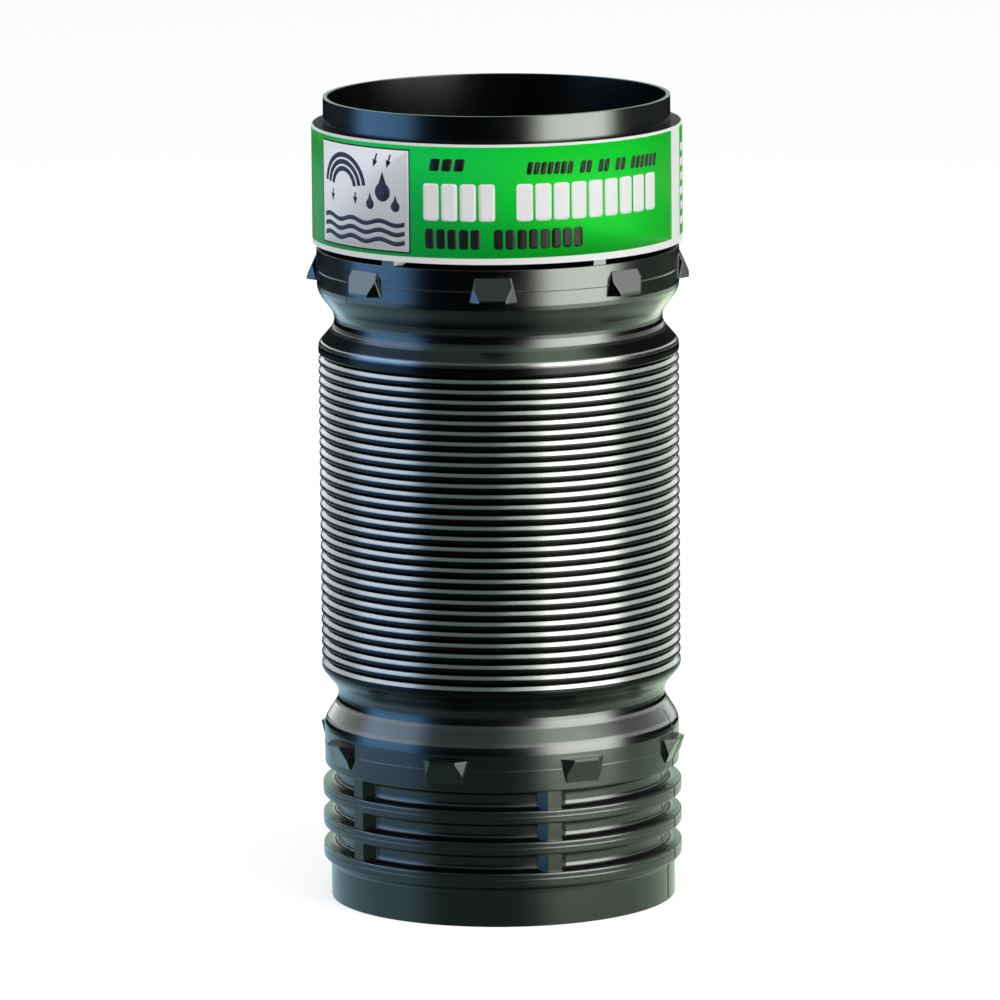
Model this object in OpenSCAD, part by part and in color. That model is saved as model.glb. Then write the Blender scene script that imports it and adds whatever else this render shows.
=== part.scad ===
// Short flexible connector for corrugated drain and downspout pipe.
// One blow-moulded tube: two stiff ends with snap lugs, and a pleated middle
// that draws out and bends. A printed card sleeve is wrapped round the top end.
// Origin at the centre of the bottom end, Z up along the pipe.

/* [Overall] */
// Height of the whole piece, pleats pushed together
pipe_h = 233.3; // [200:0.1:320]
// Outside diameter of the plain skirt and of the plain rim
plug_d = 99.8; // [95:0.1:102]
// Wall of the two stiff ends
end_wall = 1.2; // [0.8:0.05:1.5]

/* [Rings at each end] */
// Plain length below the lowest ring
skirt_h = 12; // [6:0.1:30]
// Plain length above the topmost ring
rim_h = 16.1; // [6:0.1:40]
// Diameter over the rings of the bottom end
bottom_ring_d = 104; // [102.5:0.1:108]
// Diameter over the rings of the top end
top_ring_d = 105.4; // [102.5:0.1:108]
// Number of rings at each end
ring_count = 3; // [1:1:5]
// Height of a ring at its crest
ring_h = 3.85; // [3:0.05:6]
// Height of the groove between two rings
groove_h = 5.2; // [3:0.05:8]
// Depth of a groove below the crest of its rings
groove_depth = 4; // [2:0.1:6]
// Height of the slope from the plain end up to its first ring
ring_lead = 1.6; // [0.5:0.1:4]

/* [Posts in the grooves] */
// Angle of a post to either side of the mould's draw direction
post_turn = 35.4; // [10:0.1:80]
// Width of a post at the groove floor
post_root_w = 8.5; // [5:0.1:14]
// Width of a post at its front
post_front_w = 4.2; // [2:0.1:5]
// How far the front of a post lies behind the ring crest
post_setback = 0.8; // [0.2:0.1:2]

/* [Snap band] */
// Diameter of the band below the rings of the top end
top_band_d = 104.4; // [102:0.1:107]
// Diameter of the band above the rings of the bottom end
bottom_band_d = 102.8; // [101:0.1:106]
// Height of the band
band_h = 12.6; // [9:0.1:20]
// Number of lugs round a band
lug_count = 8; // [2:1:12]
// How far a lug stands out of its band
lug_reach = 2.75; // [1.5:0.05:5]
// Height of a lug from its catch face to the thin end of its ramp
lug_h = 6.9; // [4:0.1:8]
// Thickness of the catch edge of a lug
lug_edge = 0.7; // [0.3:0.1:2]
// Distance from the middle of the band to the catch face of its lugs
lug_offset = 3; // [0:0.1:5]
// Width of a lug where its catch face leaves the band
lug_root_w = 13.2; // [11:0.1:16]
// Width of a lug at its tip
lug_tip_w = 7.7; // [4:0.1:10]
// Width of a lug at the thin end of its ramp
lug_thin_w = 10; // [6:0.1:11]
// Angle of the bottom lugs and posts from those of the top end
bottom_turn = -17; // [-45:0.5:45]

/* [Neck and collar] */
// Narrowest outside diameter of the two necks
neck_d = 93.6; // [88:0.1:97]
// Height from the edge of the band to the middle of the neck
neck_drop = 8.4; // [6:0.1:14]
// Height from the middle of the neck to the start of the collar
collar_rise = 6.6; // [5:0.1:12]
// Radius of the hollow of the neck
neck_round = 5.2; // [3:0.1:7]
// Radius of the shoulder between the band and the neck
shoulder_round = 6; // [2:0.1:7]

/* [Pleats] */
// Number of pleats between the two collars
pleat_count = 29; // [10:1:32]
// Diameter over the pleats and collars
pleat_d = 104; // [101:0.1:107]
// Depth of a pleat
pleat_depth = 6.8; // [4:0.1:10]
// Part of each fold's height that its pleat fills
pleat_fill = 0.7; // [0.5:0.01:0.8]
// How far the upper half of a pleat slopes in
pleat_slope = 1.3; // [0.2:0.1:1.6]
// How much wider the lowest fold is than the topmost one, as a part of a fold
pleat_spread = 0.06; // [0:0.01:0.15]
// Wall of the pleats
pleat_wall = 0.6; // [0.4:0.05:0.65]

/* [Fine edges] */
// Radius on the edges of the rings and bands
ring_edge = 0.5; // [0.2:0.05:0.9]
// Radius in the corners of the grooves
groove_round = 1.7; // [0.5:0.1:2]
// Radius on the crests of the pleats
pleat_edge = 0.5; // [0.1:0.05:0.9]
// Radius where a neck runs out into its collar
collar_round = 1.1; // [0.5:0.1:3]
// Width of the witness line that each mould joint leaves round a crest
witness_w = 0.4; // [0.2:0.05:0.8]
// Height of the witness line
witness_h = 0.1; // [0.05:0.05:0.2]

/* [Card sleeve] */
// Height of the card sleeve
sleeve_h = 34.1; // [15:0.1:40]
// Distance from the band up to the card sleeve
sleeve_gap = 1.6; // [0.5:0.1:6]
// Thickness of the card
card_t = 0.4; // [0.2:0.05:0.8]
// Clearance between the card and the witness lines of the rings
card_clearance = 0.05; // [0.05:0.05:0.5]
// Width of the glued overlap at the back
overlap_w = 16; // [8:0.5:30]

/* [Hidden] */

$fn = 128;

// Steps along a rounded corner, in degrees: wide arcs get finer ones
arc_step = 12;
small_arc_step = 9;
// How far a cut or a joined block runs past the wall that it meets
past = 0.4;

plug_r = plug_d / 2;
ring_pitch = ring_h + groove_h;
rings_run = ring_count * ring_pitch;
neck_r = neck_d / 2;
pleat_r = pleat_d / 2;
valley_r = pleat_r - pleat_depth;

// Heights of one end, measured from its own free edge
function band_start(plain_h) = plain_h + rings_run;
function band_middle(plain_h) = band_start(plain_h) + band_h / 2;
function neck_middle(plain_h) = band_start(plain_h) + band_h + neck_drop;
function collar_start(plain_h) = neck_middle(plain_h) + collar_rise;
function collar_edge(plain_h) = collar_start(plain_h) + collar_round;
function collar_middle(plain_h) = collar_edge(plain_h) + pleat_h / 2;

// The two collars hold half a pleat each, with the folds between them
fold_count = pleat_count + 1;
fold_pitch = (pipe_h - collar_edge(skirt_h) - collar_edge(rim_h)) / (fold_count + pleat_fill);
pleat_h = pleat_fill * fold_pitch;

// Height of the middle of a crest, counted from the bottom collar
function crest_z(k) =
    collar_middle(skirt_h) + fold_pitch * k * (1 + pleat_spread / 2 * (1 - k / fold_count));

// Points are [radius, height, corner radius]

// A witness line round a crest
function witness(r, z) = [
    [r, z - witness_w / 2, 0],
    [r + witness_h, z, 0],
    [r, z + witness_w / 2, 0]
];

// One ring with its groove above it, the ring standing at height z
function ring_points(ring_r, z, k, lines) = concat(
    k == 0 ? [] : [[ring_r - groove_depth, z, groove_round]],
    [[ring_r, z, ring_edge]],
    lines ? witness(ring_r, z + ring_h / 2) : [],
    [[ring_r, z + ring_h, ring_edge], [ring_r - groove_depth, z + ring_h, groove_round]]
);

// The rings of one end, above the slope that leads up to them
function rings_points(plain_h, ring_r, lines) = [
    for (k = [0 : ring_count - 1])
        for (p = ring_points(ring_r, plain_h + k * ring_pitch, k, lines)) p
];

// Where the two slopes of a neck would meet, so that its hollow reaches neck_r
function neck_apex(band_r, drop) =
    let (slope = atan((band_r - neck_r) / drop))
    neck_r - neck_round * (1 / cos(slope) - 1);

// Outline of one end from its free edge up to the middle of its collar crest
function end_points(plain_h, ring_r, band_r, lines) = concat(
    [[plug_r, 0, 0], [plug_r, plain_h - ring_lead, ring_lead]],
    rings_points(plain_h, ring_r, lines),
    [
        [ring_r - groove_depth, band_start(plain_h), groove_round],
        [band_r, band_start(plain_h), ring_edge]
    ],
    lines ? witness(band_r, band_middle(plain_h)) : [],
    [
        [band_r, band_start(plain_h) + band_h, shoulder_round],
        [neck_apex(band_r, neck_drop), neck_middle(plain_h), neck_round],
        [pleat_r, collar_start(plain_h) + collar_round / 2, 2 * collar_round],
        [pleat_r, collar_middle(plain_h), 0]
    ]
);

// Outline of one pleat, its upper half sloping in; the first and last are halves on the collars
function one_pleat(k, crest_r, slope) = concat(
    k == 0 ? [] : [
        [valley_r, crest_z(k) - pleat_h / 2, 0],
        [crest_r, crest_z(k) - pleat_h / 2, pleat_edge]
    ],
    k == 0 || k == fold_count ? [[crest_r, crest_z(k), 0]]
        : slope == 0 ? [] : [[crest_r, crest_z(k), pleat_edge]],
    k == fold_count ? [] : [
        [crest_r - slope, crest_z(k) + pleat_h / 2, pleat_edge],
        [valley_r, crest_z(k) + pleat_h / 2, 0]
    ]
);

// Outline of the pleats between the middles of the two collar crests
function pleat_points(crest_r, slope) = [
    for (k = [0 : fold_count]) for (p = one_pleat(k, crest_r, slope)) p
];

// The same outline seen from the other end of the pipe
function upside_down(points) = [
    for (i = [len(points) - 1 : -1 : 0]) [points[i][0], pipe_h - points[i][1], points[i][2]]
];

function at(p) = [p[0], p[1]];
function heading(from, to) = (at(to) - at(from)) / norm(at(to) - at(from));
function inward(v) = [-v[1], v[0]];
function turning(a, b) = a[0] * b[1] - a[1] * b[0];

// An outline moved into the wall by d, its corner radii following
function moved_in(points, d) = [
    for (i = [0 : len(points) - 1])
        let (a = heading(points[max(i - 1, 0)], points[max(i, 1)]),
             b = i == len(points) - 1 ? a : heading(points[i], points[i + 1]),
             n = inward(a) + inward(b),
             shift = n * 2 * d / (n * n),
             r = points[i][2])
        [points[i][0] + shift[0], points[i][1] + shift[1],
         r == 0 ? 0 : turning(a, b) > 0 ? max(r - d, 0) : r + d]
];

// An outline with its corners turned into arcs that fit between their neighbours
function rounded(points) = [
    for (i = [0 : len(points) - 1])
        for (p = points[i][2] == 0 ? [at(points[i])]
                 : corner(points[i - 1], points[i], points[i + 1])) p
];

function corner(before, p, after) =
    let (a = heading(before, p),
         b = heading(p, after),
         turn = acos(min(1, max(-1, a * b))),
         side = turning(a, b) > 0 ? 1 : -1,
         room = 0.48 * min(norm(at(p) - at(before)), norm(at(after) - at(p))),
         r = min(p[2], room / tan(turn / 2)),
         start = at(p) - a * r * tan(turn / 2),
         centre = start + side * r * inward(a),
         steps = ceil(turn / (arc_step + small_arc_step / r)))
    [for (s = [0 : steps]) centre + turned(start - centre, side * turn * s / steps)];

function turned(v, angle) = [
    v[0] * cos(angle) - v[1] * sin(angle),
    v[0] * sin(angle) + v[1] * cos(angle)
];

function backwards(points) = [for (i = [len(points) - 1 : -1 : 0]) points[i]];

module pipe_wall() {
    bottom_r = bottom_ring_d / 2;
    top_r = top_ring_d / 2;
    outside = concat(
        end_points(skirt_h, bottom_r, bottom_band_d / 2, true),
        pleat_points(pleat_r, pleat_slope),
        upside_down(end_points(rim_h, top_r, top_band_d / 2, true))
    );
    inside = concat(
        rounded(moved_in(end_points(skirt_h, bottom_r, bottom_band_d / 2, false), end_wall)),
        rounded(moved_in(pleat_points(pleat_r - end_wall + pleat_wall, 0), pleat_wall)),
        rounded(moved_in(
            upside_down(end_points(rim_h, top_r, top_band_d / 2, false)), end_wall))
    );
    rotate_extrude() polygon(concat(rounded(outside), backwards(inside)));
}

// A wedge standing out of a wall of radius wall_r towards +X, every face moved in by inset
module lug(wall_r, catch_z, inset) {
    root = wall_r - end_wall / 2 - (inset > 0 ? end_wall : 0);
    tip = wall_r + lug_reach - inset;
    thin_z = catch_z - lug_h;
    half_root = lug_root_w / 2 - inset;
    half_tip = lug_tip_w / 2 - inset;
    half_thin = lug_thin_w / 2 - inset;
    intersection() {
        rotate([90, 0, 0])
            linear_extrude(lug_root_w, center = true)
                polygon([
                    [root, catch_z - inset], [tip, catch_z - inset], [tip, catch_z - max(lug_edge, inset)],
                    [wall_r - inset, thin_z], [root, thin_z]
                ]);
        rotate([90, 0, 90])
            linear_extrude(wall_r + 2 * lug_reach)
                polygon([
                    [-half_root, catch_z], [half_root, catch_z],
                    [half_thin, thin_z], [-half_thin, thin_z]
                ]);
        translate([0, 0, thin_z])
            linear_extrude(lug_h)
                polygon([
                    [root, -half_root], [wall_r, -half_root], [tip, -half_tip],
                    [tip, half_tip], [wall_r, half_root], [root, half_root]
                ]);
    }
}

// A post that bridges the groove standing on height z, every face moved in by inset
module post(ring_r, z, inset) {
    floor_r = ring_r - groove_depth;
    front_r = ring_r - post_setback - inset;
    root = floor_r - end_wall / 2 - (inset > 0 ? end_wall : 0);
    half_root = post_root_w / 2 - inset;
    half_front = post_front_w / 2 - min(inset, post_front_w / 2 - past);
    reach = inset + past;
    translate([0, 0, z - reach])
        linear_extrude(groove_h + 2 * reach)
            polygon([
                [root, -half_root], [floor_r, -half_root], [front_r, -half_front],
                [front_r, half_front], [floor_r, half_root], [root, half_root]
            ]);
}

// Lugs and posts of one end, standing on its free edge; angles run from the -Y side
module end_details(plain_h, ring_r, band_r, inset) {
    for (k = [0 : lug_count - 1])
        rotate([0, 0, k * 360 / lug_count - 90])
            lug(band_r, band_middle(plain_h) + lug_offset, inset);
    for (half = [0, 180], side = [-1, 1], k = [0 : ring_count - 1])
        rotate([0, 0, half + side * post_turn - 90])
            post(ring_r, plain_h + k * ring_pitch + ring_h, inset);
}

module both_ends(inset) {
    rotate([0, 0, bottom_turn])
        end_details(skirt_h, bottom_ring_d / 2, bottom_band_d / 2, inset);
    translate([0, 0, pipe_h])
        mirror([0, 0, 1])
            end_details(rim_h, top_ring_d / 2, top_band_d / 2, inset);
}

module flex_pipe() {
    color([0.05, 0.055, 0.06])
        difference() {
            union() {
                pipe_wall();
                both_ends(0);
            }
            both_ends(end_wall);
        }
}

module label_sleeve() {
    card_r = max(top_ring_d, plug_d) / 2 + witness_h + card_clearance;
    sleeve_z = pipe_h - band_start(rim_h) + sleeve_gap;
    overlap_turn = overlap_w / card_r * 180 / PI;
    color([0.02, 0.7, 0.15])
        translate([0, 0, sleeve_z]) {
            rotate_extrude()
                translate([card_r, 0]) square([card_t, sleeve_h]);
            rotate([0, 0, 90 - overlap_turn / 2])
                rotate_extrude(angle = overlap_turn)
                    translate([card_r + card_t / 2, 0]) square([1.5 * card_t, sleeve_h]);
        }
}

flex_pipe();
label_sleeve();
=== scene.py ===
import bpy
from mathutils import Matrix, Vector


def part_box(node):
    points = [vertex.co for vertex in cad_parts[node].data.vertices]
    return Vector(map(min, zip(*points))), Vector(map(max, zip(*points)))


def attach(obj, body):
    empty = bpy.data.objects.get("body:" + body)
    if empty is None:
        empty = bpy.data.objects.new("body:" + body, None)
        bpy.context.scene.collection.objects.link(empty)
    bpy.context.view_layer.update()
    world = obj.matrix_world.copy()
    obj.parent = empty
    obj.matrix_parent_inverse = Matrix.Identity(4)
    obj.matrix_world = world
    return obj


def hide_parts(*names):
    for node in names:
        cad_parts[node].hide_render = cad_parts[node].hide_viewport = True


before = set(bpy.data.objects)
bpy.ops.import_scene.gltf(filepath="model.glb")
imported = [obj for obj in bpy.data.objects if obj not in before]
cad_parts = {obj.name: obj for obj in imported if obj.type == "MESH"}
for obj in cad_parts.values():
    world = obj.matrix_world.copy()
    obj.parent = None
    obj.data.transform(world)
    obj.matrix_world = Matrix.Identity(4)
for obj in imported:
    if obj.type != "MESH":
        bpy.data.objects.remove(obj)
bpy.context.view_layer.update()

import math
from collections import namedtuple

import bmesh
import bpy
from mathutils import Matrix, Vector
from mathutils.bvhtree import BVHTree

bl_info = {
    "name": "Flexible Pipe Connector",
    "version": (1, 0, 0),
    "blender": (4, 5, 0),
    "location": "View3D > Sidebar > Pipe Connector",
    "description": "Black plastic finish, printed card sleeve and studio of a flexible pipe connector",
    "category": "Object",
}

BODY = "root"
MM = 0.001
# Mirror sheen, on Blender's scale where 0.5 is a usual plastic
PLASTIC_SHEEN = 0.5
INK_SHEEN = 0.12
# A face among the folds counts as upward where this much of its normal points up
UPWARD = 0.4
UPWARD_SOFTNESS = 0.3
# The floor's own grey, and the glow that whitens it for the camera
FLOOR_GREY = 0.45
FLOOR_GLOW = 0.67

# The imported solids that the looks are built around
pipe_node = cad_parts["flex_pipe"]
pipe_low, pipe_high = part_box("flex_pipe")
sleeve_low, sleeve_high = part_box("label_sleeve")
sleeve_radius = sleeve_high.x
sleeve_height = sleeve_high.z - sleeve_low.z


class PipeFinish(bpy.types.PropertyGroup):
    """Finish of the black tube"""

    colour: bpy.props.FloatVectorProperty(
        name="Plastic", description="Colour of the black polyethylene",
        subtype="COLOR", size=3, min=0, max=1, default=(0.0012, 0.0015, 0.0016))
    roughness: bpy.props.FloatProperty(
        name="Roughness", description="Roughness of the moulded skin",
        min=0.05, max=1, default=0.22)
    streak_depth: bpy.props.FloatProperty(
        name="Streak depth", description="Depth of the faint lengthwise streaks in the skin",
        unit="LENGTH", default=0.05 * MM)
    grain_depth: bpy.props.FloatProperty(
        name="Grain depth", description="Depth of the fine grain of the mould",
        unit="LENGTH", default=0.012 * MM)
    edge_softness: bpy.props.FloatProperty(
        name="Edge softness", description="Radius that the moulded edges catch the light with",
        unit="LENGTH", default=0.35 * MM)
    smooth_angle: bpy.props.FloatProperty(
        name="Smooth angle", description="Edges sharper than this stay crisp",
        subtype="ANGLE", default=math.radians(32))
    folds_low: bpy.props.FloatProperty(
        name="Lowest fold", description="Height of the lower end of the folds",
        unit="LENGTH", default=65.5 * MM)
    folds_high: bpy.props.FloatProperty(
        name="Highest fold", description="Height of the upper end of the folds",
        unit="LENGTH", default=163 * MM)
    crest_lean: bpy.props.FloatProperty(
        name="Crest lean", description="How far the crests' light leans up, as a part of their slope",
        min=0, max=1, default=0.43)
    crest_gloss: bpy.props.FloatProperty(
        name="Crest gloss", description="Extra sheen of the polished crests of the folds",
        min=0, max=2, default=0.9)
    fold_gloss: bpy.props.FloatProperty(
        name="Fold gloss", description="Sheen of the upright faces of the folds, as a part of the rest",
        min=0, max=1, default=0.2)
    seam_width: bpy.props.FloatProperty(
        name="Seam width", description="Width of the flash line where the mould halves meet",
        unit="LENGTH", default=0.35 * MM)
    seam_height: bpy.props.FloatProperty(
        name="Seam height", description="How far the flash line stands out",
        unit="LENGTH", default=0.14 * MM)
    bottom_seam: bpy.props.FloatProperty(
        name="Bottom seam", description="Angle of the flash line on the bottom end, from the front",
        subtype="ANGLE", default=math.radians(74.6))
    top_seam: bpy.props.FloatProperty(
        name="Top seam", description="Angle of the flash line on the top band, from the front",
        subtype="ANGLE", default=math.radians(-51.8))


class SleevePrint(bpy.types.PropertyGroup):
    """Card and inks of the sleeve"""

    card_thickness: bpy.props.FloatProperty(
        name="Card thickness", description="Thickness of the card",
        unit="LENGTH", default=0.4 * MM)
    overlap: bpy.props.FloatProperty(
        name="Overlap", description="Width of the glued overlap at the back",
        unit="LENGTH", default=16 * MM)
    ink_lift: bpy.props.FloatProperty(
        name="Ink lift", description="Height of one layer of ink above the one below it",
        unit="LENGTH", default=0.02 * MM)
    card: bpy.props.FloatVectorProperty(
        name="Card", description="Colour of the bare card",
        subtype="COLOR", size=3, min=0, max=1, default=(0.86, 0.87, 0.87))
    green: bpy.props.FloatVectorProperty(
        name="Green ink", description="Colour of the green ink",
        subtype="COLOR", size=3, min=0, max=1, default=(0.0, 0.50, 0.020))
    cool_green: bpy.props.FloatVectorProperty(
        name="Cool green", description="Green ink where it runs bluer",
        subtype="COLOR", size=3, min=0, max=1, default=(0.0, 0.50, 0.075))
    # Green darkened by painted shade, laid where the sleeve turns away towards its sides
    painted_shade_green: bpy.props.FloatVectorProperty(
        name="Deep green", description="Green ink where it runs darker",
        subtype="COLOR", size=3, min=0, max=1, default=(0.0, 0.26, 0.006))
    black: bpy.props.FloatVectorProperty(
        name="Black ink", description="Colour of the black ink",
        subtype="COLOR", size=3, min=0, max=1, default=(0.006, 0.007, 0.006))
    panel: bpy.props.FloatVectorProperty(
        name="Panel", description="Colour of the pale picture panel",
        subtype="COLOR", size=3, min=0, max=1, default=(0.82, 0.84, 0.90))
    slate: bpy.props.FloatVectorProperty(
        name="Slate ink", description="Colour of the motif in the panel",
        subtype="COLOR", size=3, min=0, max=1, default=(0.03, 0.032, 0.06))


class StudioSettings(bpy.types.PropertyGroup):
    """Camera, floor and lamps"""

    camera_distance: bpy.props.FloatProperty(
        name="Camera distance", description="Distance of the camera from the pipe's axis",
        unit="LENGTH", default=2.6)
    camera_height: bpy.props.FloatProperty(
        name="Camera height", description="Height of the camera above the floor",
        unit="LENGTH", default=0.562)
    camera_turn: bpy.props.FloatProperty(
        name="Camera turn", description="Angle of the camera round the pipe, from the front",
        subtype="ANGLE", default=math.radians(1.6))
    camera_pitch: bpy.props.FloatProperty(
        name="Camera pitch", description="How far the camera looks down",
        subtype="ANGLE", default=math.radians(9.749))
    camera_roll: bpy.props.FloatProperty(
        name="Camera roll", description="How far the camera leans",
        subtype="ANGLE", default=math.radians(-0.514))
    lens: bpy.props.FloatProperty(
        name="Lens", description="Focal length in millimetres", default=328.55)
    left_power: bpy.props.FloatProperty(
        name="Left lamp", description="Power of the tall lamp on the left, in watts", default=6)
    right_power: bpy.props.FloatProperty(
        name="Right lamp", description="Power of the tall lamp on the right, in watts", default=8)
    top_power: bpy.props.FloatProperty(
        name="Top lamp", description="Power of the lamp overhead, in watts", default=5)
    ambient: bpy.props.FloatProperty(
        name="Ambient", description="Soft light from all round", default=0.62)


def material(name):
    """A new node material, with its nodes, links and surface shader"""
    made = bpy.data.materials.new(name)
    made.use_nodes = True
    nodes = made.node_tree.nodes
    return made, nodes, made.node_tree.links, nodes["Principled BSDF"]


def object_point(nodes):
    """The node that gives a point in the part's own frame"""
    return nodes.new("ShaderNodeTexCoord").outputs["Object"]


def noise(nodes, links, point, scale, detail, stretch=(1, 1, 1)):
    """Noise over the part, stretched along its axes"""
    mapping = nodes.new("ShaderNodeMapping")
    mapping.inputs["Scale"].default_value = stretch
    texture = nodes.new("ShaderNodeTexNoise")
    texture.inputs["Scale"].default_value = scale
    texture.inputs["Detail"].default_value = detail
    links.new(point, mapping.inputs["Vector"])
    links.new(mapping.outputs["Vector"], texture.inputs["Vector"])
    return texture.outputs["Fac"]


def bump(nodes, links, height, depth, below=None):
    """A bump of the given depth, laid over another one"""
    node = nodes.new("ShaderNodeBump")
    node.inputs["Strength"].default_value = 1
    node.inputs["Distance"].default_value = depth
    links.new(height, node.inputs["Height"])
    if below is not None:
        links.new(below, node.inputs["Normal"])
    return node.outputs["Normal"]


def spread(nodes, links, value, low, high):
    """A value from 0 to 1 spread over another range"""
    node = nodes.new("ShaderNodeMapRange")
    node.inputs["To Min"].default_value = low
    node.inputs["To Max"].default_value = high
    links.new(value, node.inputs["Value"])
    return node.outputs["Result"]


def calculate(nodes, links, operation, first, second=0.0):
    """The result of one sum on sockets or numbers"""
    node = nodes.new("ShaderNodeMath")
    node.operation = operation
    for socket, value in zip(node.inputs, (first, second)):
        if isinstance(value, bpy.types.NodeSocket):
            links.new(value, socket)
        else:
            socket.default_value = value
    return node.outputs["Value"]


def soft_step(nodes, links, value, edge, softness):
    """0 below an edge and 1 above it, with a soft change between"""
    node = nodes.new("ShaderNodeMapRange")
    node.interpolation_type = "SMOOTHSTEP"
    node.inputs["From Min"].default_value = edge - softness / 2
    node.inputs["From Max"].default_value = edge + softness / 2
    links.new(value, node.inputs["Value"])
    return node.outputs["Result"]


def soft_window(nodes, links, value, span, softness):
    """1 within a span and 0 outside it, with soft edges"""
    above = soft_step(nodes, links, value, span[0], softness)
    beyond = soft_step(nodes, links, value, span[1], softness)
    return calculate(nodes, links, "SUBTRACT", above, beyond)


def split(nodes, links, vector):
    """The X, Y and Z of a vector"""
    node = nodes.new("ShaderNodeSeparateXYZ")
    links.new(vector, node.inputs["Vector"])
    return node


def vector_sum(nodes, links, first, second):
    """The sum of two vectors"""
    node = nodes.new("ShaderNodeVectorMath")
    links.new(first, node.inputs[0])
    links.new(second, node.inputs[1])
    return node.outputs["Vector"]


def scaled(nodes, links, vector, factor):
    """A vector times a factor; the vector is a socket or three numbers, the factor a socket or a number"""
    node = nodes.new("ShaderNodeVectorMath")
    node.operation = "SCALE"
    for socket, value in ((node.inputs["Vector"], vector), (node.inputs["Scale"], factor)):
        if isinstance(value, bpy.types.NodeSocket):
            links.new(value, socket)
        else:
            socket.default_value = value
    return node.outputs["Vector"]


def chosen_colour(nodes, links, factor, otherwise, colour):
    """A colour where a factor is 1, and another one otherwise; each is a socket or three numbers"""
    node = nodes.new("ShaderNodeMix")
    node.data_type = "RGBA"
    links.new(factor, node.inputs["Factor"])
    sockets = [socket for socket in node.inputs if socket.type == "RGBA"]
    for socket, value in zip(sockets, (otherwise, colour)):
        if isinstance(value, bpy.types.NodeSocket):
            links.new(value, socket)
        else:
            socket.default_value = (*value, 1)
    return next(socket for socket in node.outputs if socket.type == "RGBA")


def fold_masks(nodes, links, point, finish):
    """1 on the upward faces among the folds, and 1 on their other faces"""
    facing = split(nodes, links, nodes.new("ShaderNodeNewGeometry").outputs["True Normal"])
    upward = soft_step(nodes, links, facing.outputs["Z"], UPWARD, UPWARD_SOFTNESS)
    height = split(nodes, links, point).outputs["Z"]
    among = soft_window(nodes, links, height, (finish.folds_low, finish.folds_high), MM)
    crest = calculate(nodes, links, "MULTIPLY", among, upward)
    return crest, calculate(nodes, links, "SUBTRACT", among, crest)


def rounded_crest(nodes, links, normal, crest, finish):
    """The normal of a crest, levelled as the rounding of a real fold would turn it"""
    levelled = nodes.new("ShaderNodeVectorMath")
    levelled.operation = "MULTIPLY"
    levelled.inputs[1].default_value = (1, 1, finish.crest_lean)
    links.new(normal, levelled.inputs[0])
    chosen = nodes.new("ShaderNodeMix")
    chosen.data_type = "VECTOR"
    links.new(crest, chosen.inputs["Factor"])
    sockets = [socket for socket in chosen.inputs if socket.type == "VECTOR"]
    links.new(normal, sockets[-2])
    links.new(levelled.outputs["Vector"], sockets[-1])
    unit = nodes.new("ShaderNodeVectorMath")
    unit.operation = "NORMALIZE"
    links.new(next(socket for socket in chosen.outputs if socket.type == "VECTOR"), unit.inputs[0])
    return unit.outputs["Vector"]


def black_polyethylene(finish):
    """Black blow-moulded plastic: satin, with lengthwise streaks and a fine grain"""
    made, nodes, links, shader = material("black_polyethylene")
    point = object_point(nodes)
    streaks = noise(nodes, links, point, 55, 2, stretch=(1, 1, 0.04))
    blotches = noise(nodes, links, point, 28, 3)
    grain = noise(nodes, links, point, 2600, 2)
    crest, between = fold_masks(nodes, links, point, finish)
    shader.inputs["Base Color"].default_value = (*finish.colour, 1)
    dulled = spread(nodes, links, between, PLASTIC_SHEEN, PLASTIC_SHEEN * finish.fold_gloss)
    polished = calculate(nodes, links, "MULTIPLY", crest, finish.crest_gloss)
    links.new(calculate(nodes, links, "ADD", dulled, polished), shader.inputs["Specular IOR Level"])
    rough = spread(nodes, links, blotches, finish.roughness * 0.8, finish.roughness * 1.25)
    links.new(rough, shader.inputs["Roughness"])
    softened = nodes.new("ShaderNodeBevel")
    softened.samples = 4
    softened.inputs["Radius"].default_value = finish.edge_softness
    rounded = rounded_crest(nodes, links, softened.outputs["Normal"], crest, finish)
    streaked = bump(nodes, links, streaks, finish.streak_depth, rounded)
    links.new(bump(nodes, links, grain, finish.grain_depth, streaked), shader.inputs["Normal"])
    return made


def coated_card(settings):
    """White coated card with a faint fibre under the coating"""
    made, nodes, links, shader = material("coated_card")
    point = object_point(nodes)
    fibre = noise(nodes, links, point, 900, 3, stretch=(1, 1, 2.5))
    shader.inputs["Base Color"].default_value = (*settings.card, 1)
    shader.inputs["Roughness"].default_value = 0.5
    shader.inputs["Specular IOR Level"].default_value = INK_SHEEN
    links.new(bump(nodes, links, fibre, 0.01 * MM), shader.inputs["Normal"])
    return made


def ink(name, colour, roughness=0.5):
    """An even ink on the card, its gloss broken up a little"""
    made, nodes, links, shader = material(name)
    point = object_point(nodes)
    mottle = noise(nodes, links, point, 350, 2)
    shader.inputs["Base Color"].default_value = (*colour, 1)
    shader.inputs["Specular IOR Level"].default_value = INK_SHEEN
    rough = spread(nodes, links, mottle, roughness * 0.85, roughness * 1.15)
    links.new(rough, shader.inputs["Roughness"])
    return made


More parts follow.
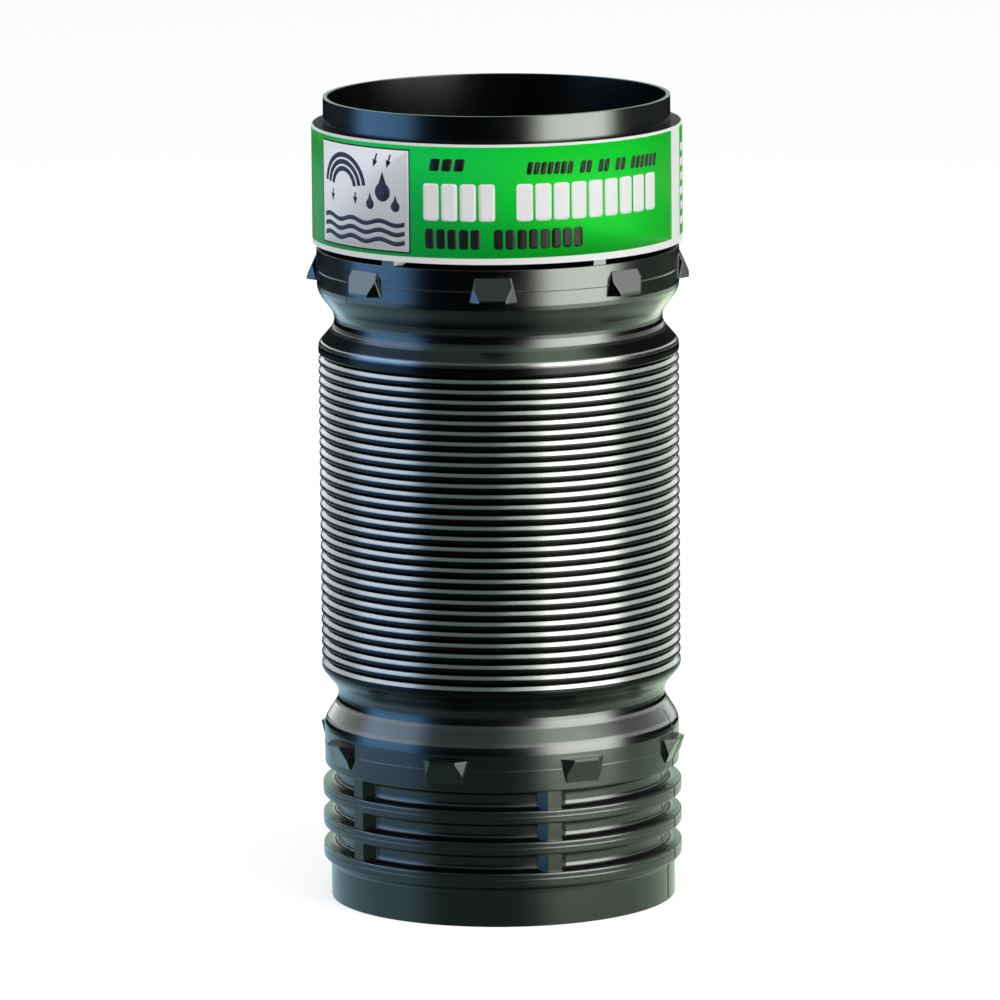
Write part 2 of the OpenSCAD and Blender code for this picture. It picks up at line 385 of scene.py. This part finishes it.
def green_ink_with_painted_shade(settings):
    """The green ground: bluer at the middle of the front, and darkened towards its sides by painted shade
    """
    made, nodes, links, shader = material("green_ink_with_painted_shade")
    point = object_point(nodes)
    across = nodes.new("ShaderNodeMapRange")
    across.inputs["From Min"].default_value = -sleeve_radius
    across.inputs["From Max"].default_value = sleeve_radius
    links.new(split(nodes, links, point).outputs["X"], across.inputs["Value"])
    ramp = nodes.new("ShaderNodeValToRGB")
    stops = ramp.color_ramp.elements
    # Painted shade: both ends of the ramp, at the sides of the sleeve, darken to the shaded green
    stops[0].position, stops[0].color = 0.0, (*settings.painted_shade_green, 1)
    stops[1].position, stops[1].color = 1.0, (*settings.painted_shade_green, 1)
    for position, colour in ((0.12, settings.cool_green), (0.3, settings.cool_green),
                             (0.62, settings.green), (0.86, settings.green)):
        stops.new(position).color = (*colour, 1)
    links.new(across.outputs["Result"], ramp.inputs["Fac"])
    links.new(ramp.outputs["Color"], shader.inputs["Base Color"])
    mottle = noise(nodes, links, point, 350, 2)
    links.new(spread(nodes, links, mottle, 0.44, 0.56), shader.inputs["Roughness"])
    shader.inputs["Specular IOR Level"].default_value = INK_SHEEN
    return made


def new_object(name, mesh, finish):
    """A mesh object on the part's body, with one material"""
    made = bpy.data.objects.new(name, mesh)
    bpy.context.scene.collection.objects.link(made)
    mesh.materials.append(finish)
    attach(made, BODY)
    return made


def on_circle(radius, angle, height):
    """A point at an angle from the front (-Y) side, anticlockwise from above"""
    return Vector((radius * math.sin(angle), -radius * math.cos(angle), height))


def smooth(mesh):
    """Shade every face of a mesh smoothly"""
    mesh.polygons.foreach_set("use_smooth", [True] * len(mesh.polygons))


class PIPE_OT_finish(bpy.types.Operator):
    """Give the black tube its plastic"""

    bl_idname = "pipe_connector.finish"
    bl_label = "Black tube"

    def execute(self, context):
        finish = context.scene.pipe_finish
        pipe_node.data.materials.clear()
        pipe_node.data.materials.append(black_polyethylene(finish))
        smooth(pipe_node.data)
        pipe_node.data.set_sharp_from_angle(angle=finish.smooth_angle)
        return {"FINISHED"}


def surface_radius(tree, angle, height):
    """Radius of the tube's outer face at an angle and a height"""
    start = on_circle(2 * pipe_high.x, angle, height)
    hit = tree.ray_cast(start, on_circle(-1, angle, 0))[0]
    return math.hypot(hit.x, hit.y)


def flash_line(name, tree, angle_at, low, high, finish):
    """A low ridge that follows the tube's outer face from one height to another"""
    rise = 0.25 * MM
    steps = round((high - low) / rise)
    half_turn = finish.seam_width / 2 / pipe_high.x
    mesh = bmesh.new()
    rings = []
    for i in range(steps + 1):
        height = low + (high - low) * i / steps
        angle = angle_at(i / steps)
        radius = surface_radius(tree, angle, height)
        crest = radius + finish.seam_height
        rings.append([
            mesh.verts.new(on_circle(radius - finish.seam_height, angle - half_turn, height)),
            mesh.verts.new(on_circle(crest, angle, height)),
            mesh.verts.new(on_circle(radius - finish.seam_height, angle + half_turn, height)),
        ])
    for below, above in zip(rings, rings[1:]):
        for k in range(3):
            mesh.faces.new((below[k], below[k - 1], above[k - 1], above[k]))
    mesh.faces.new(rings[0])
    mesh.faces.new(reversed(rings[-1]))
    bmesh.ops.recalc_face_normals(mesh, faces=mesh.faces)
    made = bpy.data.meshes.new(name)
    mesh.to_mesh(made)
    mesh.free()
    return new_object(name, made, pipe_node.data.materials[0])


class PIPE_OT_seams(bpy.types.Operator):
    """Lay the flash lines where the mould halves met"""

    bl_idname = "pipe_connector.seams"
    bl_label = "Mould seams"

    def execute(self, context):
        finish = context.scene.pipe_finish
        mesh = pipe_node.data
        tree = BVHTree.FromPolygons(
            [v.co for v in mesh.vertices], [p.vertices for p in mesh.polygons])
        edge = 0.5 * MM
        shoulder = pipe_low.z + 56 * MM
        for side, angle in (("right", finish.bottom_seam), ("left", finish.bottom_seam + math.pi)):
            flash_line("bottom_seam_" + side, tree, lambda t, a=angle: a,
                       pipe_low.z + edge, shoulder, finish)
        band_low, band_high = pipe_high.z - 56 * MM, sleeve_low.z - edge
        lean = math.radians(3)
        for side, angle in (("left", finish.top_seam), ("right", finish.top_seam + math.pi)):
            flash_line("top_seam_" + side, tree, lambda t, a=angle: a - lean * (1 - t),
                       band_low, band_high, finish)
        return {"FINISHED"}


def card_radius(turn, overlap_turn, thickness):
    """Inner radius of the wound card: its outer end climbs over its inner end"""
    inner = sleeve_radius - thickness
    start_of_climb = 2 * math.pi - overlap_turn
    climb = (turn - start_of_climb) / overlap_turn
    eased = min(1.0, max(0.0, climb))
    return inner + thickness * 1.05 * eased * eased * (3 - 2 * eased)


class PIPE_OT_card(bpy.types.Operator):
    """Wind the card sleeve round the top end"""

    bl_idname = "pipe_connector.card"
    bl_label = "Card sleeve"

    def execute(self, context):
        settings = context.scene.sleeve_print
        overlap_turn = settings.overlap / sleeve_radius
        whole_turn = 2 * math.pi + overlap_turn
        columns, rows = 400, 12
        mesh = bmesh.new()
        grid = []
        for i in range(columns + 1):
            turn = whole_turn * i / columns
            angle = math.pi - overlap_turn / 2 + turn
            inner = card_radius(turn, overlap_turn, settings.card_thickness)
            grid.append([
                [mesh.verts.new(on_circle(radius, angle, sleeve_low.z + sleeve_height * j / rows))
                 for j in range(rows + 1)]
                for radius in (inner, inner + settings.card_thickness)
            ])
        for left, right in zip(grid, grid[1:]):
            for j in range(rows):
                for side in (0, 1):
                    mesh.faces.new((left[side][j], right[side][j], right[side][j + 1], left[side][j + 1]))
            for j in (0, rows):
                mesh.faces.new((left[0][j], right[0][j], right[1][j], left[1][j]))
        for end in (grid[0], grid[-1]):
            for j in range(rows):
                mesh.faces.new((end[0][j], end[1][j], end[1][j + 1], end[0][j + 1]))
        bmesh.ops.recalc_face_normals(mesh, faces=mesh.faces)
        made = bpy.data.meshes.new("card_sleeve")
        mesh.to_mesh(made)
        mesh.free()
        smooth(made)
        made.set_sharp_from_angle(angle=math.radians(40))
        card = new_object("card_sleeve", made, coated_card(settings))
        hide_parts("label_sleeve")
        return {"FINISHED"}


# Outlines on the unrolled card are lists of (degrees from the front, millimetres above its lower edge)
degree_mm = sleeve_radius / MM * math.radians(1)


def bar(left, bottom, width_mm, height, lean_mm=0.0, corner=0.3):
    """A block of print with rounded corners, leaning to the right if asked"""
    corner = min(corner, width_mm / 2, height / 2)
    quarter = 4
    outline = []
    centres = ((width_mm - corner, height - corner, 0), (corner, height - corner, 90),
               (corner, corner, 180), (width_mm - corner, corner, 270))
    for cx, cy, start in centres:
        for k in range(quarter + 1):
            angle = math.radians(start + 90 * k / quarter)
            x = cx + corner * math.cos(angle)
            y = cy + corner * math.sin(angle)
            outline.append((left + (x + lean_mm * y / height) / degree_mm, bottom + y))
    return outline


def word_blocks(left, right, bottom, height, words, gap=0.14, lean_mm=0.0, rise=0.0):
    """Blocks in place of a line of words: words is a list of how many blocks each has"""
    slots = sum(words) + len(words) - 1
    pitch = (right - left) / slots
    outlines, slot = [], 0
    for count in words:
        for _ in range(count):
            start = left + slot * pitch
            outlines.append(bar(start, bottom + rise * slot / slots, pitch * (1 - gap) * degree_mm,
                                height, lean_mm, corner=min(0.9, height * 0.16)))
            slot += 1
        slot += 1
    return outlines


def arc_band(centre, inner, outer, start, end, steps=28):
    """Part of a flat ring, its centre in degrees and millimetres"""
    turns = [math.radians(start + (end - start) * k / steps) for k in range(steps + 1)]
    there = [(centre[0] + outer * math.cos(a) / degree_mm, centre[1] + outer * math.sin(a))
             for a in turns]
    back = [(centre[0] + inner * math.cos(a) / degree_mm, centre[1] + inner * math.sin(a))
            for a in reversed(turns)]
    return there + back


def arrow(tail, length, turn, width=0.55, head=2.2):
    """A thin arrow from its tail, pointing at an angle"""
    shape = ((0, -width / 2), (length - head, -width / 2), (length - head, -head * 0.42), (length, 0),
             (length - head, head * 0.42), (length - head, width / 2), (0, width / 2))
    c, s = math.cos(math.radians(turn)), math.sin(math.radians(turn))
    return [(tail[0] + (x * c - y * s) / degree_mm, tail[1] + x * s + y * c) for x, y in shape]


def drop(centre, radius, steps=24):
    """A water drop with its tip up"""
    outline = []
    for k in range(steps):
        angle = math.radians(120 + 300 * k / (steps - 1))
        outline.append((centre[0] + radius * math.cos(angle) / degree_mm,
                        centre[1] + radius * math.sin(angle)))
    outline.append((centre[0], centre[1] + radius * 2.2))
    return outline


def wave(left, right, middle, height, thickness, waves=3, steps=48):
    """A band that rises and falls like water"""
    upper = []
    for k in range(steps + 1):
        angle = left + (right - left) * k / steps
        upper.append((angle, middle + height * math.sin(2 * math.pi * waves * k / steps)))
    return upper + [(a, z - thickness) for a, z in reversed(upper)]


def printed(name, outlines, finish, layer, settings):
    """Fields of ink that follow the card: filled flat, cut into narrow strips, then wrapped round"""
    mesh = bmesh.new()
    for outline in outlines:
        ring = [mesh.verts.new((angle, height, 0)) for angle, height in outline]
        edges = [mesh.edges.new(pair) for pair in zip(ring, ring[1:] + ring[:1])]
        bmesh.ops.triangle_fill(mesh, edges=edges, use_beauty=True)
    strip = 1.5
    low = min(v.co.x for v in mesh.verts)
    high = max(v.co.x for v in mesh.verts)
    for k in range(math.ceil(low / strip), math.floor(high / strip) + 1):
        bmesh.ops.bisect_plane(
            mesh, geom=mesh.verts[:] + mesh.edges[:] + mesh.faces[:],
            plane_co=(k * strip, 0, 0), plane_no=(1, 0, 0))
    radius = sleeve_radius + layer * settings.ink_lift
    for v in mesh.verts:
        v.co = on_circle(radius, math.radians(v.co.x), sleeve_low.z + v.co.y * MM)
    for face in mesh.faces:
        face.normal_update()
        middle = face.calc_center_median()
        if face.normal.dot(Vector((middle.x, middle.y, 0))) < 0:
            face.normal_flip()
    made = bpy.data.meshes.new(name)
    mesh.to_mesh(made)
    mesh.free()
    smooth(made)
    piece = new_object(name, made, finish)
    body = piece.modifiers.new("ink_body", "SOLIDIFY")
    body.thickness = settings.ink_lift * 0.5
    body.offset = -1
    return piece


class PIPE_OT_print(bpy.types.Operator):
    """Print the sleeve: a green ground, a pale panel with a motif, and blocks in place of words"""

    bl_idname = "pipe_connector.print"
    bl_label = "Sleeve print"

    front = (-88, 70.5)
    panel = (-66.2, -26.4, 3.0, 31.8)

    def execute(self, context):
        settings = context.scene.sleeve_print
        self.ground(settings)
        self.picture(settings)
        self.front_lines(settings)
        self.back_lines(settings)
        return {"FINISHED"}

    def ground(self, settings):
        """The green fields of the front and the back, with bare card round them"""
        left, right = self.front
        top = sleeve_height / MM - 0.75
        back_left, back_right = 80, 268
        printed("green_ground", [
            [(left, 1.4), (right, 2.1), (right, top), (left, top)],
            [(back_left, 2.1), (back_right, 1.4), (back_right, top), (back_left, top)],
        ], green_ink_with_painted_shade(settings), 1, settings)

    def picture(self, settings):
        """The pale panel with its border, arcs, waves, drops and arrows"""
        left, right, bottom, top = self.panel
        border = 0.45
        frame_ink = ink("panel_border_ink", settings.black)
        printed("panel_border", [[(left - border, bottom - border), (right + border, bottom - border),
                                  (right + border, top + border), (left - border, top + border)]],
                frame_ink, 2, settings)
        printed("panel_ground", [[(left, bottom), (right, bottom), (right, top), (left, top)]],
                ink("panel_ink", settings.panel), 3, settings)
        slate = ink("slate_ink", settings.slate)
        ring_at = (-53.5, 19.5)
        shapes = [arc_band(ring_at, 4.6 + 2.0 * k, 6.0 + 2.0 * k, 8, 172) for k in range(3)]
        shapes += [wave(left + 1.5, right - 1.5, 6.2 + 2.6 * k, 0.55, 1.3) for k in range(3)]
        shapes += [drop((-36, 19.5), 2.7), drop((-31.2, 15.6), 1.5), drop((-41, 15.8), 1.5)]
        printed("panel_motif", shapes, slate, 4, settings)
        arrows = [arrow((-59.5, 18.6), 3.6, 270), arrow((-47.5, 18.6), 3.6, 270),
                  arrow((-32.8, 30.4), 4.2, 250), arrow((-38, 30.4), 4.2, 250)]
        printed("panel_arrows", arrows, frame_ink, 4, settings)

    def front_lines(self, settings):
        """Three rows of black blocks and one of white blocks"""
        black = ink("black_ink", settings.black)
        white = ink("white_ink", settings.card, roughness=0.45)
        lines = word_blocks(-19.6, -8.0, 26.5, 3.5, [3], gap=0.2, lean_mm=0.7)
        lines += word_blocks(10.4, 59.5, 25.5, 3.6, [7, 2, 2, 2, 6], gap=0.2, lean_mm=0.7, rise=-0.8)
        lines += word_blocks(-21.0, 29.0, 4.3, 5.7, [5, 8], gap=0.17)
        printed("black_blocks", lines, black, 2, settings)
        printed("white_blocks", word_blocks(-21.5, 59.5, 12.3, 10.6, [4, 9], gap=0.13),
                white, 2, settings)

    def back_lines(self, settings):
        """The back's panel of small rows, its three rings and the marks along its edge"""
        panel_ink = ink("back_panel_ink", settings.card, roughness=0.45)
        black = ink("back_black_ink", settings.black)
        slate = ink("back_slate_ink", settings.slate)
        left, right, bottom, top = 104, 156, 4, 30
        printed("back_panel", [[(left, bottom), (right, bottom), (right, top), (left, top)]],
                panel_ink, 2, settings)
        rows = []
        for k, words in enumerate(([6, 3, 7], [4, 8, 4], [7, 5, 3], [5, 6, 4], [3, 7, 5])):
            rows += word_blocks(left + 4, right - 4, top - 5.5 - 4.3 * k, 2.0, words, gap=0.2)
        printed("back_rows", rows, black, 3, settings)
        steps = [arc_band((215 + 13 * k, 17), 3.2, 5.0, 0, 350) for k in range(-1, 2)]
        printed("back_rings", steps, slate, 2, settings)
        marks = word_blocks(80.5, 88.0, 5, 2.2, [1], gap=0.1)
        for k in range(1, 6):
            marks += word_blocks(80.5 + (k % 2), 87.0, 5 + 4.2 * k, 2.4, [1], gap=0.1)
        printed("edge_marks", marks, panel_ink, 2, settings)


# Panels of light that show only in reflections, each with soft edges.
# Each is placed by the faces that mirror it into the camera: degrees that they are turned
# from the front to the right, and degrees that they lean upwards.
Panel = namedtuple("Panel", "turned leaning softness light")
PANELS = (
    Panel((15.5, 42), (-3, 30), (9, 6), (14.0, 14.8, 13.6)),
    Panel((10, 34), (30, 44), (10, 5), (2.6, 3.4, 2.5)),
    Panel((17, 80), (-50, -3), (10, 5), (2.2, 2.7, 2.1)),
    Panel((-51, -27), (-3, 20), (8, 6), (1.0, 2.5, 4.8)),
    Panel((-51, -26), (20, 39), (8, 5), (1.8, 2.9, 4.6)),
    Panel((-75, -30), (-50, -3), (10, 5), (1.2, 1.8, 2.0)),
    Panel((-24, 10), (20, 44), (12, 8), (0.4, 0.6, 0.5)),
    Panel((4, 16), (25, 30), (6, 3), (3.8, 4.0, 3.8)),
    Panel((42, 85), (23, 30), (8, 4), (3.4, 3.6, 3.4)),
    Panel((-51, -27), (25, 30), (8, 3), (3.8, 2.9, 1.0)),
    Panel((-85, -51), (25, 30), (8, 3), (3.8, 4.0, 4.0)),
    Panel((-30, 4), (25, 30), (8, 3), (0.5, 0.5, 0.5)),
    Panel((-120, 120), (50, 90), (10, 8), (1.0, 1.3, 1.1)),
)
# The table round the pipe is darker and mirrors the panels only from this far out, in metres
MIRROR_START = 0.375
MIRROR_SOFTNESS = 0.04
# Light of the table inside that: degrees that a face is turned, and metres from the axis
NEAR_TABLE = (
    Panel((15, 90), (-0.1, 0.36), (14, 0.04), (1.0, 1.3, 1.0)),
    Panel((-25, 15), (-0.1, 0.36), (16, 0.04), (0.2, 0.32, 0.25)),
    Panel((-90, -25), (-0.1, 0.36), (14, 0.04), (0.6, 0.95, 1.1)),
)


def lamp(name, size, power, colour, place, target):
    """A soft panel lamp that faces a point"""
    data = bpy.data.lights.new(name, "AREA")
    data.shape = "RECTANGLE"
    data.size, data.size_y = size
    data.energy = power
    data.color = colour
    made = bpy.data.objects.new(name, data)
    bpy.context.scene.collection.objects.link(made)
    made.location = place
    made.rotation_mode = "QUATERNION"
    made.rotation_quaternion = (Vector(target) - Vector(place)).to_track_quat("-Z", "Y")
    made.visible_camera = False
    made.visible_glossy = False
    return made


def painted_light(nodes, links, turned, leaning, panels):
    """The sum of soft-edged panels of light over two coordinates"""
    total = None
    for panel in panels:
        mask = calculate(
            nodes, links, "MULTIPLY",
            soft_window(nodes, links, turned, panel.turned, panel.softness[0]),
            soft_window(nodes, links, leaning, panel.leaning, panel.softness[1]))
        lit = scaled(nodes, links, panel.light, mask)
        total = lit if total is None else vector_sum(nodes, links, total, lit)
    return total


def mirroring_face(nodes, links, direction, studio):
    """How a face is turned and leans, in degrees, when it mirrors light from a direction into the camera"""
    level = math.cos(studio.camera_pitch)
    to_camera = nodes.new("ShaderNodeCombineXYZ")
    view = on_circle(level, studio.camera_turn, math.sin(studio.camera_pitch))
    for name, value in zip("XYZ", view):
        to_camera.inputs[name].default_value = value
    normal = nodes.new("ShaderNodeVectorMath")
    normal.operation = "NORMALIZE"
    links.new(vector_sum(nodes, links, direction, to_camera.outputs["Vector"]), normal.inputs[0])
    axes = split(nodes, links, normal.outputs["Vector"])
    front = calculate(nodes, links, "MULTIPLY", axes.outputs["Y"], -1.0)
    turned = calculate(nodes, links, "ARCTAN2", axes.outputs["X"], front)
    leaning = calculate(nodes, links, "ARCSINE", axes.outputs["Z"])
    return (calculate(nodes, links, "DEGREES", turned), calculate(nodes, links, "DEGREES", leaning))


def floor_material(studio):
    """White to the camera with a soft shadow; its reflection shows the lit and the dark parts of a table"""
    made = bpy.data.materials.new("studio_floor")
    made.use_nodes = True
    nodes, links = made.node_tree.nodes, made.node_tree.links
    nodes.clear()
    out = nodes.new("ShaderNodeOutputMaterial")
    ray = nodes.new("ShaderNodeLightPath")
    shaded = nodes.new("ShaderNodeBsdfDiffuse")
    shaded.inputs["Color"].default_value = (FLOOR_GREY, FLOOR_GREY, FLOOR_GREY, 1)
    glow = nodes.new("ShaderNodeEmission")
    glow.inputs["Strength"].default_value = FLOOR_GLOW
    seen = nodes.new("ShaderNodeAddShader")
    links.new(shaded.outputs["BSDF"], seen.inputs[0])
    links.new(glow.outputs["Emission"], seen.inputs[1])
    reach = nodes.new("ShaderNodeVectorMath")
    reach.operation = "LENGTH"
    links.new(object_point(nodes), reach.inputs[0])
    distance = reach.outputs["Value"]
    outgoing = scaled(nodes, links, nodes.new("ShaderNodeNewGeometry").outputs["Incoming"], -1.0)
    turned, leaning = mirroring_face(nodes, links, outgoing, studio)
    near = painted_light(nodes, links, turned, distance, NEAR_TABLE)
    mirrored = scaled(nodes, links, painted_light(nodes, links, turned, leaning, PANELS),
                      soft_step(nodes, links, distance, MIRROR_START, MIRROR_SOFTNESS))
    reflected = nodes.new("ShaderNodeEmission")
    links.new(vector_sum(nodes, links, near, mirrored), reflected.inputs["Color"])
    for_others = nodes.new("ShaderNodeMixShader")
    links.new(ray.outputs["Is Glossy Ray"], for_others.inputs["Fac"])
    links.new(shaded.outputs["BSDF"], for_others.inputs[1])
    links.new(reflected.outputs["Emission"], for_others.inputs[2])
    mix = nodes.new("ShaderNodeMixShader")
    links.new(ray.outputs["Is Camera Ray"], mix.inputs["Fac"])
    links.new(for_others.outputs["Shader"], mix.inputs[1])
    links.new(seen.outputs["Shader"], mix.inputs[2])
    links.new(mix.outputs["Shader"], out.inputs["Surface"])
    return made


def studio_world(studio):
    """White to the camera, soft panels of light in reflections, and an even grey for all else"""
    world = bpy.data.worlds.new("studio_world")
    bpy.context.scene.world = world
    world.use_nodes = True
    nodes, links = world.node_tree.nodes, world.node_tree.links
    ray = nodes.new("ShaderNodeLightPath")
    direction = nodes.new("ShaderNodeTexCoord").outputs["Generated"]
    panels = painted_light(nodes, links, *mirroring_face(nodes, links, direction, studio), PANELS)
    reflected = chosen_colour(nodes, links, ray.outputs["Is Glossy Ray"], (studio.ambient,) * 3, panels)
    seen = chosen_colour(nodes, links, ray.outputs["Is Camera Ray"], reflected, (1, 1, 1))
    links.new(seen, nodes["Background"].inputs["Color"])


class PIPE_OT_studio(bpy.types.Operator):
    """Set the floor, the lamps and the camera"""

    bl_idname = "pipe_connector.studio"
    bl_label = "Studio"

    def execute(self, context):
        studio = context.scene.pipe_studio
        self.floor(studio)
        self.lamps(studio)
        self.camera(studio)
        studio_world(studio)
        context.scene.view_settings.view_transform = "Standard"
        return {"FINISHED"}

    def floor(self, studio):
        """A round floor under the pipe"""
        mesh = bmesh.new()
        bmesh.ops.create_circle(mesh, cap_ends=True, cap_tris=False, segments=96, radius=6)
        made = bpy.data.meshes.new("studio_floor")
        mesh.to_mesh(made)
        mesh.free()
        made.materials.append(floor_material(studio))
        ground = bpy.data.objects.new("studio_floor", made)
        ground.location.z = pipe_low.z
        bpy.context.scene.collection.objects.link(ground)

    def lamps(self, studio):
        """Two tall soft lamps and one overhead, which no reflection shows"""
        middle = (pipe_low + pipe_high) / 2
        left_turn, right_turn = math.radians(-118), math.radians(52)
        lamp("left_lamp", (0.75, 1.7), studio.left_power, (0.80, 0.90, 1.0),
             on_circle(1.25, left_turn, 0.80), middle)
        lamp("right_lamp", (1.0, 1.7), studio.right_power, (1.0, 1.0, 0.95),
             on_circle(1.25, right_turn, 0.85), middle)
        lamp("top_lamp", (0.5, 0.5), studio.top_power, (1.0, 1.0, 1.0),
             (0.15, -0.55, 1.5), middle)

    def camera(self, studio):
        """A long lens that looks slightly down at the front"""
        data = bpy.data.cameras.new("camera")
        data.lens = studio.lens
        data.sensor_width = 36
        data.clip_start, data.clip_end = 0.1, 50
        made = bpy.data.objects.new("camera", data)
        bpy.context.scene.collection.objects.link(made)
        place = on_circle(studio.camera_distance, studio.camera_turn, studio.camera_height)
        made.matrix_world = (
            Matrix.Translation(place)
            @ Matrix.Rotation(studio.camera_turn, 4, "Z")
            @ Matrix.Rotation(math.pi / 2 - studio.camera_pitch, 4, "X")
            @ Matrix.Rotation(studio.camera_roll, 4, "Z"))
        bpy.context.scene.camera = made


class PIPE_PT_panel(bpy.types.Panel):
    """The steps that dress the connector"""

    bl_idname = "PIPE_PT_panel"
    bl_label = "Pipe Connector"
    bl_space_type = "VIEW_3D"
    bl_region_type = "UI"
    bl_category = "Pipe Connector"

    def draw(self, context):
        layout = self.layout
        for settings in (context.scene.pipe_finish, context.scene.sleeve_print, context.scene.pipe_studio):
            box = layout.box()
            for name in settings.__annotations__:
                box.prop(settings, name)
        for operator in STEPS:
            layout.operator(operator.bl_idname)


SETTINGS = {"pipe_finish": PipeFinish, "sleeve_print": SleevePrint, "pipe_studio": StudioSettings}
STEPS = (PIPE_OT_finish, PIPE_OT_seams, PIPE_OT_card, PIPE_OT_print, PIPE_OT_studio)


def register():
    for name, group in SETTINGS.items():
        bpy.utils.register_class(group)
        setattr(bpy.types.Scene, name, bpy.props.PointerProperty(type=group))
    for operator in STEPS:
        bpy.utils.register_class(operator)
    bpy.utils.register_class(PIPE_PT_panel)


def unregister():
    bpy.utils.unregister_class(PIPE_PT_panel)
    for operator in reversed(STEPS):
        bpy.utils.unregister_class(operator)
    for name, group in reversed(SETTINGS.items()):
        delattr(bpy.types.Scene, name)
        bpy.utils.unregister_class(group)


def main():
    register()
    bpy.ops.pipe_connector.finish()
    bpy.ops.pipe_connector.seams()
    bpy.ops.pipe_connector.card()
    bpy.ops.pipe_connector.print()
    bpy.ops.pipe_connector.studio()


if __name__ == "__main__":
    main()
